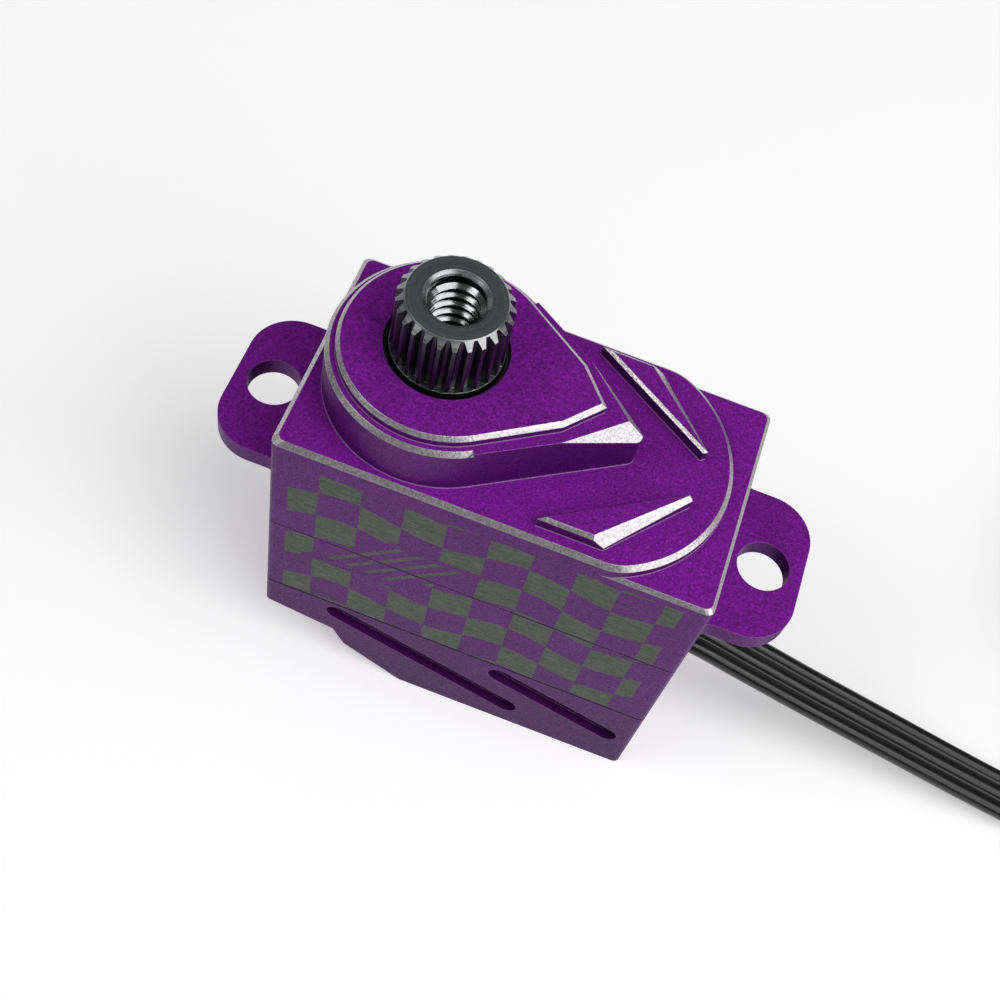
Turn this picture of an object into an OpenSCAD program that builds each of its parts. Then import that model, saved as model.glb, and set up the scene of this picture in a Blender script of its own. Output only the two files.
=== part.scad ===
// Micro servo motor with a metal case, a steel gear train and a flat three-core lead.
// Origin: middle of the case's base. +X points to the lead's end, +Z along the output shaft.

/* [Case] */
// Length of the case along X
case_l = 24; // [23.6:0.1:24.4]
// Width of the case along Y
case_w = 13.3; // [13.2:0.05:13.4]
// Height of the deck above the base
deck_z = 22.5; // [22.4:0.05:22.6]
// Height of the joint between the upper and the middle case
upper_joint_z = 14.25; // [14.2:0.05:14.3]
// Height of the joint between the middle case and the bottom cover
lower_joint_z = 7.1; // [7:0.05:7.2]
// Width of the bright chamfers along the deck
rim_chamfer = 0.27; // [0.2:0.01:0.4]
// Depth of the grooves in the bottom cover's sides
groove_depth = 0.6; // [0.3:0.05:0.65]

/* [Mounting tabs] */
// Distance between the two mounting holes
hole_spacing = 29; // [28.8:0.1:29.2]
// Diameter of a mounting hole
hole_d = 3; // [2.8:0.1:3.2]
// Overall length over the tabs
tab_span = 33.5; // [33.4:0.1:34]
// Width of a tab
tab_w = 9.2; // [9:0.1:9.6]
// Thickness of a tab
tab_t = 1.2; // [1:0.1:1.4]
// Height of the tabs' underside
tab_z = 16.05; // [15.95:0.05:16.3]

/* [Output] */
// Distance of the output shaft from the middle of the case
shaft_offset = 5.3; // [5.2:0.05:5.4]
// Number of spline teeth
spline_teeth = 25; // [21:1:25]
// Diameter over the spline teeth
spline_d = 5.9; // [5.8:0.05:5.95]
// Height of the top of the spline
spline_top_z = 30.15; // [29.5:0.05:30.5]
// Major diameter of the tapped hole for the horn screw
tap_d = 3; // [2.5:0.5:3]
// Depth of the tapped hole
tap_depth = 7; // [5:0.5:7]

/* [Gears] */
// Pressure angle of the teeth
pressure_angle = 25; // [24:1:26]
// Teeth on each pinion
pinion_teeth = 10; // [10:1:10]
// Teeth on the first idler's wheel
first_teeth = 32; // [32:1:32]
// Teeth on the second and third idlers' wheels
idler_teeth = 28; // [28:1:28]
// Teeth on the output gear
output_teeth = 29; // [29:1:29]

/* [Lead] */
// Width of the flat lead
lead_w = 3.2; // [3:0.1:3.3]
// Thickness of the flat lead
lead_t = 1.06; // [1:0.02:1.1]
// Radius of the coil at its outermost turn
coil_r = 18.2; // [17.5:0.1:18.5]

/* [Hidden] */
$fn = 64;
eps = 0.01;

purple = [0.36, 0.08, 0.52];
steel = [0.45, 0.46, 0.47];
brass = [0.78, 0.6, 0.3];
black = [0.05, 0.05, 0.055];
copper = [0.72, 0.38, 0.2];
green = [0.05, 0.3, 0.16];

// Places that several pieces share
hx = case_l / 2;
hy = case_w / 2;
shaft_x = -shaft_offset;
motor_x = 5.5;
corner_z = deck_z - 0.75;
corner_chamfer = 0.2;
joint_line = 0.1;
joint_depth = 0.08;
screw_x = hx - 1.8;
screw_y = hy - 2.15;
screw_seat_z = 5.9;
chamber_roof_z = 20.9;
plate_under_z = 12;

// Rounded end of the deck: a wide arc about a point on the X axis, blended into the long sides
deck_arc_x = 3.78;
deck_arc_r = 7.2;
deck_blend_r = 3;

// The turret on the deck
turret_r = 6.12;
turret_z = 25.6;
turret_nose_x = 5.55;
turret_nose_r = 0.45;
turret_chamfer = 0.24;
plate_r = 5.59;
plate_z = 26.2;
plate_kink = [1.62, 2.04];
plate_tip_x = 3.3;
plate_bevel = 0.21;
seal_r = 3.26;

// Bearings: [bore radius, outer radius, lowest z, width, ball radius]
upper_bearing = [3, 5, 21.5, 2.6, 0.55];
lower_bearing = [1.5, 3, 12.7, 1.5, 0.3];
race_gap = 0.03;

// Gears: modules, then the places of the two pins
motor_module = 0.24;
idler_module = 0.25;
output_module = 0.3;
flank_slack = 0.02;
motor_mesh = motor_module * (pinion_teeth + first_teeth) / 2;
idler_mesh = idler_module * (pinion_teeth + idler_teeth) / 2;
output_mesh = output_module * (pinion_teeth + output_teeth) / 2;
axis_gap = motor_x - shaft_x;
pin_a_along = (output_mesh * output_mesh - motor_mesh * motor_mesh + axis_gap * axis_gap)
    / (2 * axis_gap);
pin_a = [shaft_x + pin_a_along, sqrt(output_mesh * output_mesh - pin_a_along * pin_a_along)];
pin_b_turn = -28;
pin_b = pin_a + idler_mesh * [cos(pin_b_turn), sin(pin_b_turn)];
pin_r = 0.45;

// Phase of each toothed wheel, so that all are in mesh at rest
function meshed(theta, phase, teeth, other) =
    theta + 180 + 180 / other - (phase - theta) * teeth / other;
motor_to_a = atan2(pin_a[1], pin_a[0] - motor_x);
a_to_b = pin_b_turn;
a_to_output = atan2(-pin_a[1], shaft_x - pin_a[0]);
first_phase = meshed(motor_to_a, 0, pinion_teeth, first_teeth);
second_phase = meshed(a_to_b, 0, pinion_teeth, idler_teeth);
third_phase = meshed(a_to_b + 180, 0, pinion_teeth, idler_teeth);
output_phase = meshed(a_to_output, 0, pinion_teeth, output_teeth);

// Motor and sensor
can_r = 4.8;
can_low_z = 4.6;
can_top_z = 11.9;
motor_shaft_r = 0.5;
sensor_r = 4.4;
sensor_low_z = 8.4;
sensor_top_z = 11.8;

// Control board
board_z = 2.3;
board_top_z = 3.1;

// Lead: the route's points, [x, y, z], and how far the flat lead is turned on edge at each
lead_route = [
    [12.6, 0, 7.8], [13.1, 0, 7.8], [14.2, 0, 7.58], [16, 0, 7], [18.5, 0, 6.25], [21, 0, 5.5],
    [24.5, 0, 4.55], [28, 0, 3.6], [32, 0, 2.5], [36, 0, 1.5], [39, 0, 0.95], [42, 0, 0.9],
    [45, 0, 1.22], [48, 0, 1.55], [51, 0, 1.63], [54.5, 0, 1.63]
];
lead_turn = [0, 0, 0, 0, 0, 0, 0, 0, 0, 0, 0, 15, 35, 60, 85, 90];
coil_centre = [54.5, coil_r];
coil_wall = [16.5, 18.8];
coil_height = 3.24;
// The tail leaves the coil on a tighter arc and lies down flat before it meets the connector
tail_start = -63;
tail_r = 9;
tail_sweep = 110;
tail_steps = 8;
tail_ring_r = 17.1;
tail_centre = coil_centre + (tail_ring_r - tail_r) * [cos(tail_start), sin(tail_start)];
tail_end_turn = tail_start + tail_sweep;
tail_end = tail_centre + tail_r * [cos(tail_end_turn), sin(tail_end_turn)];
tail_heading = tail_end_turn + 90;
tail_route = concat(
    [for (i = [0:tail_steps]) let (
        a = tail_start + tail_sweep * i / tail_steps,
        z = 1.64 - 0.34 * pow(i / tail_steps, 2)
    ) [tail_centre[0] + tail_r * cos(a), tail_centre[1] + tail_r * sin(a), z]],
    [[tail_end[0] + 2 * cos(tail_heading), tail_end[1] + 2 * sin(tail_heading), 1.3]]
);
tail_turn = concat([for (i = [0:tail_steps]) 90 - 90 * i / tail_steps], [0]);
connector_at = tail_end + 1.5 * [cos(tail_heading), sin(tail_heading)];
connector_size = [14.4, 7.7, 2.6];
core_pitch = 1.06;

// ---------- shared shapes ----------

module at(p, z = 0) {
    translate([p[0], p[1], z]) children();
}

module slab(low_z, high_z) {
    translate([0, 0, low_z]) linear_extrude(high_z - low_z) children();
}

module disc(r, low_z, high_z) {
    translate([0, 0, low_z]) cylinder(h = high_z - low_z, r = r);
}

module ring(inner, outer, low_z, high_z) {
    difference() {
        disc(outer, low_z, high_z);
        disc(inner, low_z - eps, high_z + eps);
    }
}

module rectangle(x0, x1, y) {
    translate([x0, -y]) square([x1 - x0, 2 * y]);
}

// Case outline with its corners just broken, drawn smaller by inset
module case_outline(inset = 0, corner = 0.4) {
    x = hx - inset;
    y = hy - inset;
    rectangle(-x + corner, x - corner, y);
    rectangle(-x, x, y - corner);
    for (sx = [-1, 1], sy = [-1, 1])
        translate([sx * (x - corner), sy * (y - corner)]) circle(corner, $fn = 12);
}

module screw_places() {
    for (sx = [-1, 1], sy = [-1, 1])
        translate([sx * screw_x, sy * screw_y, 0]) children();
}

// Space inside the case between the four screw posts
module chamber(half_w) {
    rectangle(-hx + 1, hx - 1, 2.7);
    rectangle(-8.4, 8.4, half_w);
}

// Involute function, in degrees
function inv(a) = tan(a) * 180 / PI - a;

function flank_angle(r, base, pitch, teeth) =
    90 / teeth - flank_slack / pitch * 180 / PI
    + inv(pressure_angle) - inv(acos(base / max(r, base)));

function gear_points(m, teeth, phase) = let (
    pitch = m * teeth / 2,
    base = pitch * cos(pressure_angle),
    root = pitch - 1.2 * m,
    tip = pitch + 0.95 * m,
    low = max(root, base),
    radii = base > root ? [root, low, (low + tip) / 2, tip] : [root, (low + tip) / 2, tip],
    last = len(radii) - 1
) [
    for (k = [0:teeth - 1], side = [-1, 1], i = [0:last]) let (
        r = radii[side < 0 ? i : last - i],
        a = phase + 360 * k / teeth + side * flank_angle(r, base, pitch, teeth)
    ) r * [cos(a), sin(a)]
];

module gear(m, teeth, phase, low_z, high_z) {
    slab(low_z, high_z) polygon(gear_points(m, teeth, phase));
}

// Inner or outer ring of a ball bearing, with its ball groove
module bearing_ring(b, outer) {
    middle_r = (b[0] + b[1]) / 2;
    wall = b[4] * 0.62;
    inner_r = outer ? middle_r + wall : b[0];
    outer_r = outer ? b[1] : middle_r - wall;
    rotate_extrude($fn = 96) difference() {
        translate([inner_r, b[2]]) square([outer_r - inner_r, b[3]]);
        translate([middle_r, b[2] + b[3] / 2]) circle(b[4] + race_gap, $fn = 48);
    }
}

module bearing_balls(b, count) {
    for (i = [0:count - 1])
        rotate(360 * i / count)
            translate([(b[0] + b[1]) / 2, 0, b[2] + b[3] / 2]) sphere(b[4], $fn = 24);
}

// ---------- case ----------

// Relief under the long edges near the shaft's end: it leans in as it goes down
module base_relief(side) {
    lean = 0.75;
    heights = [[-hx - 1, 4.7], [-7.5, 3.7], [-6.7, 2.2], [-2.6, -0.1]];
    for (i = [0:len(heights) - 2])
        let (
            a = heights[i],
            b = heights[i + 1],
            y = side * (hy + 0.5),
            ya = side * (hy - lean * a[1]),
            yb = side * (hy - lean * b[1])
        )
        hull() {
            for (p = [[a[0], a[1], ya], [b[0], b[1], yb]])
                for (q = [[y, p[1] + 0.5 / lean], [y, -1], [p[2] - side * lean, -1]])
                    translate([p[0], q[0], q[1]]) cube(0.002, center = true);
        }
}

// Groove with round ends in the side of the bottom cover, from point a to point b
module side_groove(side, a, b, width) {
    run = b - a;
    depth = 2 * groove_depth;
    translate([a[0], side * (hy - groove_depth) - (side < 0 ? depth : 0), a[1]])
        rotate([0, -atan2(run[1], run[0]), 0]) {
            translate([0, 0, -width / 2]) cube([norm(run), depth, width]);
            for (x = [0, norm(run)])
                translate([x, 0, 0]) rotate([-90, 0, 0]) cylinder(h = depth, d = width);
        }
}

module bottom_cover() {
    color(purple) {
        difference() {
            slab(0, lower_joint_z) case_outline();
            slab(5.6, lower_joint_z + eps) chamber(5);
            slab(5.6, lower_joint_z + eps) translate([motor_x, 0]) circle(can_r + 0.15);
            slab(1, lower_joint_z) intersection() {
                union() {
                    chamber(5);
                    translate([motor_x, 0]) circle(can_r + 0.15);
                }
                rectangle(-2.4, hx, hy);
            }
            slab(1.9, lower_joint_z) rectangle(-hx + 1, 0, 2.9);
            screw_places() {
                disc(1.25, -eps, screw_seat_z);
                disc(0.85, screw_seat_z - eps, lower_joint_z + eps);
            }
            for (side = [-1, 1]) {
                side_groove(side, [-7.3, 6.0], [4.0, 2.2], 1.5);
                side_groove(side, [3.1, 5.85], [10.3, 3.55], 1.5);
                base_relief(side);
            }
        }
        for (p = [[-1.6, 4.3], [-1.6, -4.3], [9.6, 0]])
            at(p) disc(0.6, 1 - eps, board_z);
    }
}

module middle_case() {
    color(purple) difference() {
        union() {
            slab(lower_joint_z, upper_joint_z) case_outline(joint_depth);
            slab(lower_joint_z + joint_line, upper_joint_z - joint_line) case_outline();
        }
        slab(lower_joint_z - eps, plate_under_z) {
            chamber(5);
            translate([motor_x, 0]) circle(can_r + 0.15);
            translate([shaft_x, 0]) circle(sensor_r + 0.1);
        }
        at([shaft_x, 0]) disc(lower_bearing[1] + 0.02, lower_bearing[2], upper_joint_z + eps);
        at([shaft_x, 0]) disc(2.4, plate_under_z - eps, lower_bearing[2] + eps);
        at([motor_x, 0]) disc(1.4, plate_under_z - eps, upper_joint_z + eps);
        at(pin_a) disc(pin_r, upper_joint_z - 1.5, upper_joint_z + eps);
        screw_places() disc(0.85, lower_joint_z - eps, upper_joint_z + eps);
        translate([hx - 1.8, -1.85, lower_joint_z - eps]) cube([2, 3.7, 1.5 + eps]);
    }
}

module deck_outline(inset) {
    reach = deck_arc_r - deck_blend_r;
    blend_y = hy - deck_blend_r;
    blend_x = deck_arc_x + sqrt(reach * reach - blend_y * blend_y);
    intersection() {
        case_outline(inset);
        union() {
            rectangle(-hx, blend_x, hy);
            for (s = [-1, 1])
                translate([blend_x, s * blend_y]) circle(deck_blend_r - inset, $fn = 96);
            intersection() {
                translate([deck_arc_x, 0]) circle(deck_arc_r - inset, $fn = 128);
                rectangle(0, hx, (deck_arc_r - inset) * blend_y / reach);
            }
        }
    }
}

// Tangent point, in the half y < 0, of a circle of radius r about the shaft with a line to p
function tangent_turn(p, r) = let (d = p - [shaft_x, 0])
    atan2(d[1], d[0]) - acos(r / norm(d));

// Outline of the upper plate: an arc about the shaft, two flanks and a pointed nose
function plate_points(inset) = let (
    r = plate_r - inset,
    kink = [plate_kink[0] - 0.7 * inset, -plate_kink[1] + 1.05 * inset],
    tip = [plate_tip_x - 1.5 * inset, 0],
    a = tangent_turn(kink, r),
    arc = [for (i = [0:72]) let (t = a - (360 + 2 * a) * i / 72)
        [shaft_x + r * cos(t), r * sin(t)]]
) concat(arc, [[kink[0], -kink[1]], tip, kink]);

// Nose of the turret: flanks that touch the round part and close on a small round tip
module turret_nose() {
    nose_c = [turret_nose_x - turret_nose_r, 0];
    spread = acos((turret_r - turret_nose_r) / (nose_c[0] - shaft_x));
    side = [cos(spread), sin(spread)];
    root = [shaft_x + turret_r * side[0], turret_r * side[1]];
    tip = [nose_c[0] + turret_nose_r * side[0], turret_nose_r * side[1]];
    polygon([[shaft_x, 0], [root[0], -root[1]], [tip[0], -tip[1]], tip, root]);
    translate(nose_c) circle(turret_nose_r, $fn = 48);
}

// Slanting cut on one side of the nose, from the top face down to the tip
module nose_cut(side) {
    turn = 43.8;
    slope = 52.6;
    translate([4.6, 0, turret_z])
        rotate([0, 0, side * -turn])
            rotate([side * -slope, 0, 0])
                translate([-8, side > 0 ? 0 : -6, 0]) cube([16, 6, 4]);
}

module turret() {
    at([shaft_x, 0]) {
        disc(turret_r, deck_z - 1, turret_z - turret_chamfer);
        translate([0, 0, turret_z - turret_chamfer])
            cylinder(h = turret_chamfer, r1 = turret_r, r2 = turret_r - turret_chamfer);
    }
    difference() {
        slab(deck_z - 1, turret_z) turret_nose();
        nose_cut(1);
        nose_cut(-1);
    }
    hull() {
        slab(turret_z - 1, plate_z - plate_bevel) polygon(plate_points(0));
        slab(plate_z - plate_bevel, plate_z) polygon(plate_points(plate_bevel));
    }
}

// Raised rib on the deck: a long triangle with bevelled edges, the widest bevel at its far side.
// The edge towards the turret has a bevel near wide, and runs to a tip at tip_y from the middle
module deck_rib(side, near, tip_y) {
    top_z = deck_z + 0.8;
    base = [[2, 5.8], [5.6, 5.8], [9.1, tip_y + 0.2], [8.87, tip_y]];
    brow_drop = [0.15, 0.6, 0.16, 0.6 * near];
    brow = [for (i = [0:3]) [base[i][0], base[i][1], top_z - brow_drop[i]]];
    top = [[2.3 + 1.81 * near, 5.6], [4.92, 5.6], [8.85, tip_y + 1.2 * near]];
    hull() {
        for (p = base) translate([p[0], side * p[1], deck_z - 0.5]) cube(0.01, center = true);
        for (p = brow) translate([p[0], side * p[1], p[2]]) cube(0.01, center = true);
        for (p = top) translate([p[0], side * p[1], top_z]) cube(0.01, center = true);
        translate([4.98, side * 5.8, top_z - 0.2]) cube(0.01, center = true);
    }
}

// Mounting tab on the +X side
module tab() {
    edge = tab_span / 2;
    half = tab_w / 2;
    corner = 2.6;
    flare = 0.9;
    difference() {
        slab(tab_z, tab_z + tab_t) difference() {
            union() {
                rectangle(hx - 1, edge - corner, half);
                rectangle(hx - 1, edge, half - corner);
                for (s = [-1, 1])
                    translate([edge - corner, s * (half - corner)]) circle(corner);
                rectangle(hx - 1, hx + flare, half + flare);
            }
            for (s = [-1, 1])
                translate([hx + flare, s * (half + flare)]) circle(flare);
        }
        translate([hole_spacing / 2, 0, 0]) disc(hole_d / 2, tab_z - 1, tab_z + tab_t + 1);
    }
}

module upper_case() {
    color(purple) difference() {
        union() {
            slab(upper_joint_z, corner_z - corner_chamfer) case_outline();
            hull() {
                slab(corner_z - 0.4, corner_z - corner_chamfer) case_outline();
                slab(corner_z - corner_chamfer, corner_z) case_outline(corner_chamfer);
            }
            hull() {
                slab(corner_z - 1, deck_z - rim_chamfer) deck_outline(0);
                slab(deck_z - rim_chamfer, deck_z) deck_outline(rim_chamfer);
            }
            turret();
            deck_rib(1, 0.2, 1.45);
            deck_rib(-1, 0.05, 1.33);
            tab();
            mirror([1, 0, 0]) tab();
        }
        slab(upper_joint_z - eps, chamber_roof_z) chamber(5.5);
        at([shaft_x, 0]) {
            disc(upper_bearing[1] + 0.02, upper_joint_z - eps, upper_bearing[2] + upper_bearing[3]);
            disc(seal_r, 20, plate_z + 1);
        }
        at(pin_a) disc(pin_r, chamber_roof_z - 1, chamber_roof_z + 0.9);
        at(pin_b) disc(pin_r, chamber_roof_z - 1, chamber_roof_z + 0.9);
        screw_places() disc(0.8, upper_joint_z - eps, 19.6);
    }
}

module case_screws() {
    color(steel) screw_places() difference() {
        union() {
            disc(1.15, screw_seat_z - 1, screw_seat_z);
            disc(0.78, screw_seat_z - eps, 19.5);
        }
        translate([0, 0, screw_seat_z - 1 - eps]) cylinder(h = 0.6, r = 0.55, $fn = 6);
    }
}

module shaft_seal() {
    color(black) at([shaft_x, 0]) ring(3.04, seal_r - 0.02, 25.3, 25.9);
}

// ---------- bearings ----------

module upper_bearing_outer() { color(steel) at([shaft_x, 0]) bearing_ring(upper_bearing, true); }
module upper_bearing_inner() { color(steel) at([shaft_x, 0]) bearing_ring(upper_bearing, false); }
module upper_bearing_balls() { color(steel) at([shaft_x, 0]) bearing_balls(upper_bearing, 11); }
module lower_bearing_outer() { color(steel) at([shaft_x, 0]) bearing_ring(lower_bearing, true); }
module lower_bearing_inner() { color(steel) at([shaft_x, 0]) bearing_ring(lower_bearing, false); }
module lower_bearing_balls() { color(steel) at([shaft_x, 0]) bearing_balls(lower_bearing, 9); }

// ---------- gear train ----------

// Outline of the spline: flat-topped teeth with slanting flanks
function spline_points() = let (pitch = 360 / spline_teeth, r = spline_d / 2)
    [for (k = [0:spline_teeth - 1], p = [[-0.36, -0.36], [-0.13, 0], [0.13, 0], [0.36, -0.36]])
        let (a = pitch * (k + p[0])) (r + p[1]) * [cos(a), sin(a)]];

module output_shaft() {
    spline_face_r = spline_d / 2 - 0.42;
    color(steel) at([shaft_x, 0]) difference() {
        union() {
            intersection() {
                slab(26.3, spline_top_z) polygon(spline_points());
                translate([0, 0, spline_top_z - 4.5])
                    cylinder(h = 4.5, r1 = spline_face_r + 4.5, r2 = spline_face_r);
            }
            disc(2.98, upper_bearing[2] - 0.5, 26.32);
            disc(3.4, 20, upper_bearing[2]);
            disc(1.9, 18.2, 20 + eps);
            disc(1.48, 12.3, 18.5);
        }
        disc(tap_d / 2, spline_top_z - tap_depth, spline_top_z + eps);
        translate([0, 0, spline_top_z - 0.22]) cylinder(h = 0.23, r1 = tap_d / 2, r2 = tap_d / 2 + 0.23);
        disc(0.92, 12.3 - eps, 13.9);
    }
}

module output_gear() {
    color(brass) at([shaft_x, 0]) difference() {
        gear(output_module, output_teeth, output_phase, 18.5, 20);
        disc(1.92, 18, 21);
    }
}

// Toothed wheel and pinion of an idler, bored to run on its pin
module idler_part(p, m, teeth, phase, low_z, high_z) {
    at(p) difference() {
        gear(m, teeth, phase, low_z, high_z);
        disc(pin_r + 0.03, low_z - 1, high_z + 1);
    }
}

module first_idler_wheel() {
    color(brass) idler_part(pin_a, motor_module, first_teeth, first_phase, 14.8, 15.7);
}
module first_idler_pinion() {
    color(steel) idler_part(pin_a, idler_module, pinion_teeth, 0, 15.7, 17);
}
module second_idler_wheel() {
    color(steel) idler_part(pin_b, idler_module, idler_teeth, second_phase, 16.1, 16.9);
}
module second_idler_pinion() {
    color(steel) idler_part(pin_b, idler_module, pinion_teeth, 0, 16.9, 18.2);
}
module third_idler_wheel() {
    color(steel) idler_part(pin_a, idler_module, idler_teeth, third_phase, 17.2, 18.05);
}
module third_idler_pinion() {
    color(steel) idler_part(pin_a, output_module, pinion_teeth, 0, 18.05, 20.2);
}

module long_gear_pin() {
    color(steel) at(pin_a) disc(pin_r - 0.005, upper_joint_z - 1.45, chamber_roof_z + 0.85);
}

// This pin is held by the upper case alone, clear of the motor's pinion below it
module short_gear_pin() {
    color(steel) at(pin_b) disc(pin_r - 0.005, 16.15, chamber_roof_z + 0.85);
}

// ---------- motor ----------

module motor_can() {
    color(steel) at([motor_x, 0]) difference() {
        disc(can_r, can_low_z + 0.8, can_top_z);
        disc(can_r - 0.4, can_low_z, can_top_z - 0.5);
        disc(1.3, can_top_z - 1, can_top_z + 1);
    }
}

module motor_bushing() {
    color(brass) at([motor_x, 0]) ring(motor_shaft_r + 0.03, 1.29, can_top_z - 0.5, 13.2);
}

module motor_magnet() {
    color(black) at([motor_x, 0]) ring(1.35, 2.6, 6.6, can_top_z - 0.5);
}

module motor_end_cap() {
    color([0.75, 0.75, 0.72]) at([motor_x, 0]) difference() {
        union() {
            disc(can_r, can_low_z, can_low_z + 0.8);
            disc(can_r - 0.42, can_low_z + 0.79, can_low_z + 1.1);
        }
        disc(motor_shaft_r + 0.03, can_low_z + 0.2, can_low_z + 2);
        disc(3.6, can_low_z + 0.7, can_low_z + 2);
        for (s = [-1, 1])
            translate([-0.7, s * 2.6 - 0.4, can_low_z - 1]) cube([1.4, 0.8, 3]);
    }
}

module motor_brushes() {
    color(copper) at([motor_x, 0]) for (s = [-1, 1])
        translate([s > 0 ? 1.15 : -1.4, -0.4, can_low_z + 0.7]) cube([0.25, 3.2, 0.5]);
}

module motor_terminals() {
    color(copper) at([motor_x, 0]) for (s = [-1, 1])
        translate([-0.5, s * 2.6 - 0.15, board_top_z]) cube([1, 0.3, 2.2]);
}

module motor_shaft() {
    color(steel) at([motor_x, 0]) disc(motor_shaft_r, 5, 15.95);
}

module motor_winding() {
    color(copper) at([motor_x, 0]) {
        ring(3, 3.9, 6.2, 10.9);
        ring(1.01, 3.9, 6, 6.25);
    }
}

module motor_commutator() {
    color(brass) at([motor_x, 0]) ring(motor_shaft_r + 0.01, 1, 5.5, 6.4);
}

module motor_pinion() {
    color(brass) at([motor_x, 0]) difference() {
        gear(motor_module, pinion_teeth, 0, 14.6, 15.9);
        disc(motor_shaft_r + 0.01, 14, 16);
    }
}

// ---------- position sensor ----------

module sensor_housing() {
    color(black) at([shaft_x, 0]) difference() {
        disc(sensor_r, sensor_low_z, sensor_top_z);
        disc(sensor_r - 0.5, sensor_low_z + 0.5, sensor_top_z - 0.8);
        disc(1, sensor_low_z + 1, sensor_top_z + 1);
    }
}

module sensor_track() {
    color([0.25, 0.22, 0.2]) at([shaft_x, 0]) ring(2.2, 3.7, sensor_low_z + 0.5, sensor_low_z + 0.7);
}

// Wiper disc on the stem that plugs into the output shaft's foot
module sensor_wiper() {
    color([0.8, 0.8, 0.78]) at([shaft_x, 0]) {
        disc(3.5, 9.4, 10);
        disc(0.9, 9.2, 13.8);
    }
}

module sensor_pins() {
    color(copper) for (y = [-1.5, 0, 1.5])
        at([shaft_x - 3, y]) disc(0.25, board_top_z, sensor_low_z);
}

// ---------- electronics ----------

module control_board() {
    color(green) slab(board_z, board_top_z) {
        rectangle(-2.2, 8.2, 4.8);
        rectangle(-10.8, -2.1, 2.7);
        rectangle(8.1, 10.95, 2.5);
    }
}

module controller_chip() {
    color(black) translate([-1.9, -2, board_z - 0.8]) cube([4, 4, 0.8]);
}

module driver_chips() {
    color(black) for (x = [2.8, 5.6])
        translate([x, -1.4, board_z - 0.8]) cube([2.1, 2.8, 0.8]);
}

module board_capacitors() {
    color([0.7, 0.6, 0.45]) for (x = [-10.6, -6.8, -4.6])
        translate([x, -0.5, board_top_z]) cube([1.2, 1, 0.8]);
}

module lead_wire_ends() {
    color(black) for (i = [-1:1])
        at([hx - 1.32, i * core_pitch]) disc(0.25, board_top_z, lower_joint_z + 0.05);
}

// ---------- lead ----------

module lead_grommet() {
    color(black) translate([hx - 1.55, -1.8, lower_joint_z + 0.05])
        cube([lead_route[0][0] - hx + 1.55, 3.6, 1.4]);
}

// Flat eight-sided section with its width turned up by turn degrees
function lead_section(p, along, turn) = let (
    side = [-along[1], along[0], 0] / norm([along[0], along[1]]),
    up = cross(along, side),
    wide = cos(turn) * side + sin(turn) * up,
    thin = cross(along, wide),
    w = lead_w / 2,
    t = lead_t / 2
) [
    for (q = [[w, -0.5], [w, 0.5], [0.8 * w, 1], [-0.8 * w, 1],
              [-w, 0.5], [-w, -0.5], [-0.8 * w, -1], [0.8 * w, -1]])
        p + q[0] * wide + q[1] * t * thin
];

module swept_lead(route, turns) {
    last = len(route) - 1;
    along = [for (i = [0:last])
        let (d = route[min(i + 1, last)] - route[max(i - 1, 0)]) d / norm(d)];
    points = [for (i = [0:last]) each lead_section(route[i], along[i], turns[i])];
    faces = concat(
        [[for (k = [0:7]) k]],
        [for (i = [0:last - 1], k = [0:7], half = [0, 1]) let (n = (k + 1) % 8)
            half == 0
                ? [i * 8 + k, (i + 1) * 8 + k, (i + 1) * 8 + n]
                : [i * 8 + k, (i + 1) * 8 + n, i * 8 + n]],
        [[for (k = [7:-1:0]) last * 8 + k]]
    );
    polyhedron(points, faces, convexity = 4);
}

module lead() { color(black) swept_lead(lead_route, lead_turn); }

module lead_coil() {
    color(black) at(coil_centre)
        rotate_extrude($fn = 96)
            translate([coil_wall[0], 0]) square([coil_wall[1] - coil_wall[0], coil_height]);
}

module lead_tail() { color(black) swept_lead(tail_route, tail_turn); }

module in_connector() {
    at(connector_at) rotate(tail_heading) children();
}

module connector_housing() {
    color(black) in_connector() difference() {
        translate([0, -connector_size[1] / 2, 0]) cube(connector_size);
        for (i = [-1:1])
            translate([4, i * 2.54 - 0.8, 0.5]) cube([connector_size[0], 1.6, 1.6]);
    }
}

module connector_contacts() {
    color(brass) in_connector() for (i = [-1:1])
        translate([4.05, i * 2.54 - 0.7, 0.6]) difference() {
            cube([8, 1.4, 1.4]);
            translate([1, 0.3, 0.3]) cube([8, 0.8, 0.8]);
        }
}

bottom_cover();
middle_case();
upper_case();
case_screws();
shaft_seal();
upper_bearing_outer();
upper_bearing_inner();
upper_bearing_balls();
lower_bearing_outer();
lower_bearing_inner();
lower_bearing_balls();
output_shaft();
output_gear();
first_idler_wheel();
first_idler_pinion();
second_idler_wheel();
second_idler_pinion();
third_idler_wheel();
third_idler_pinion();
long_gear_pin();
short_gear_pin();
motor_can();
motor_bushing();
motor_magnet();
motor_end_cap();
motor_brushes();
motor_terminals();
motor_shaft();
motor_winding();
motor_commutator();
motor_pinion();
sensor_housing();
sensor_track();
sensor_wiper();
sensor_pins();
control_board();
controller_chip();
driver_chips();
board_capacitors();
lead_wire_ends();
lead_grommet();
lead();
lead_coil();
lead_tail();
connector_housing();
connector_contacts();
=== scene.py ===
"""Looks of a micro servo motor: the finish of every part, its flat lead with tie and connector,
the thread in its output shaft, and a plain studio. Lengths are in metres, in the CAD's own frame."""

import math

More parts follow.
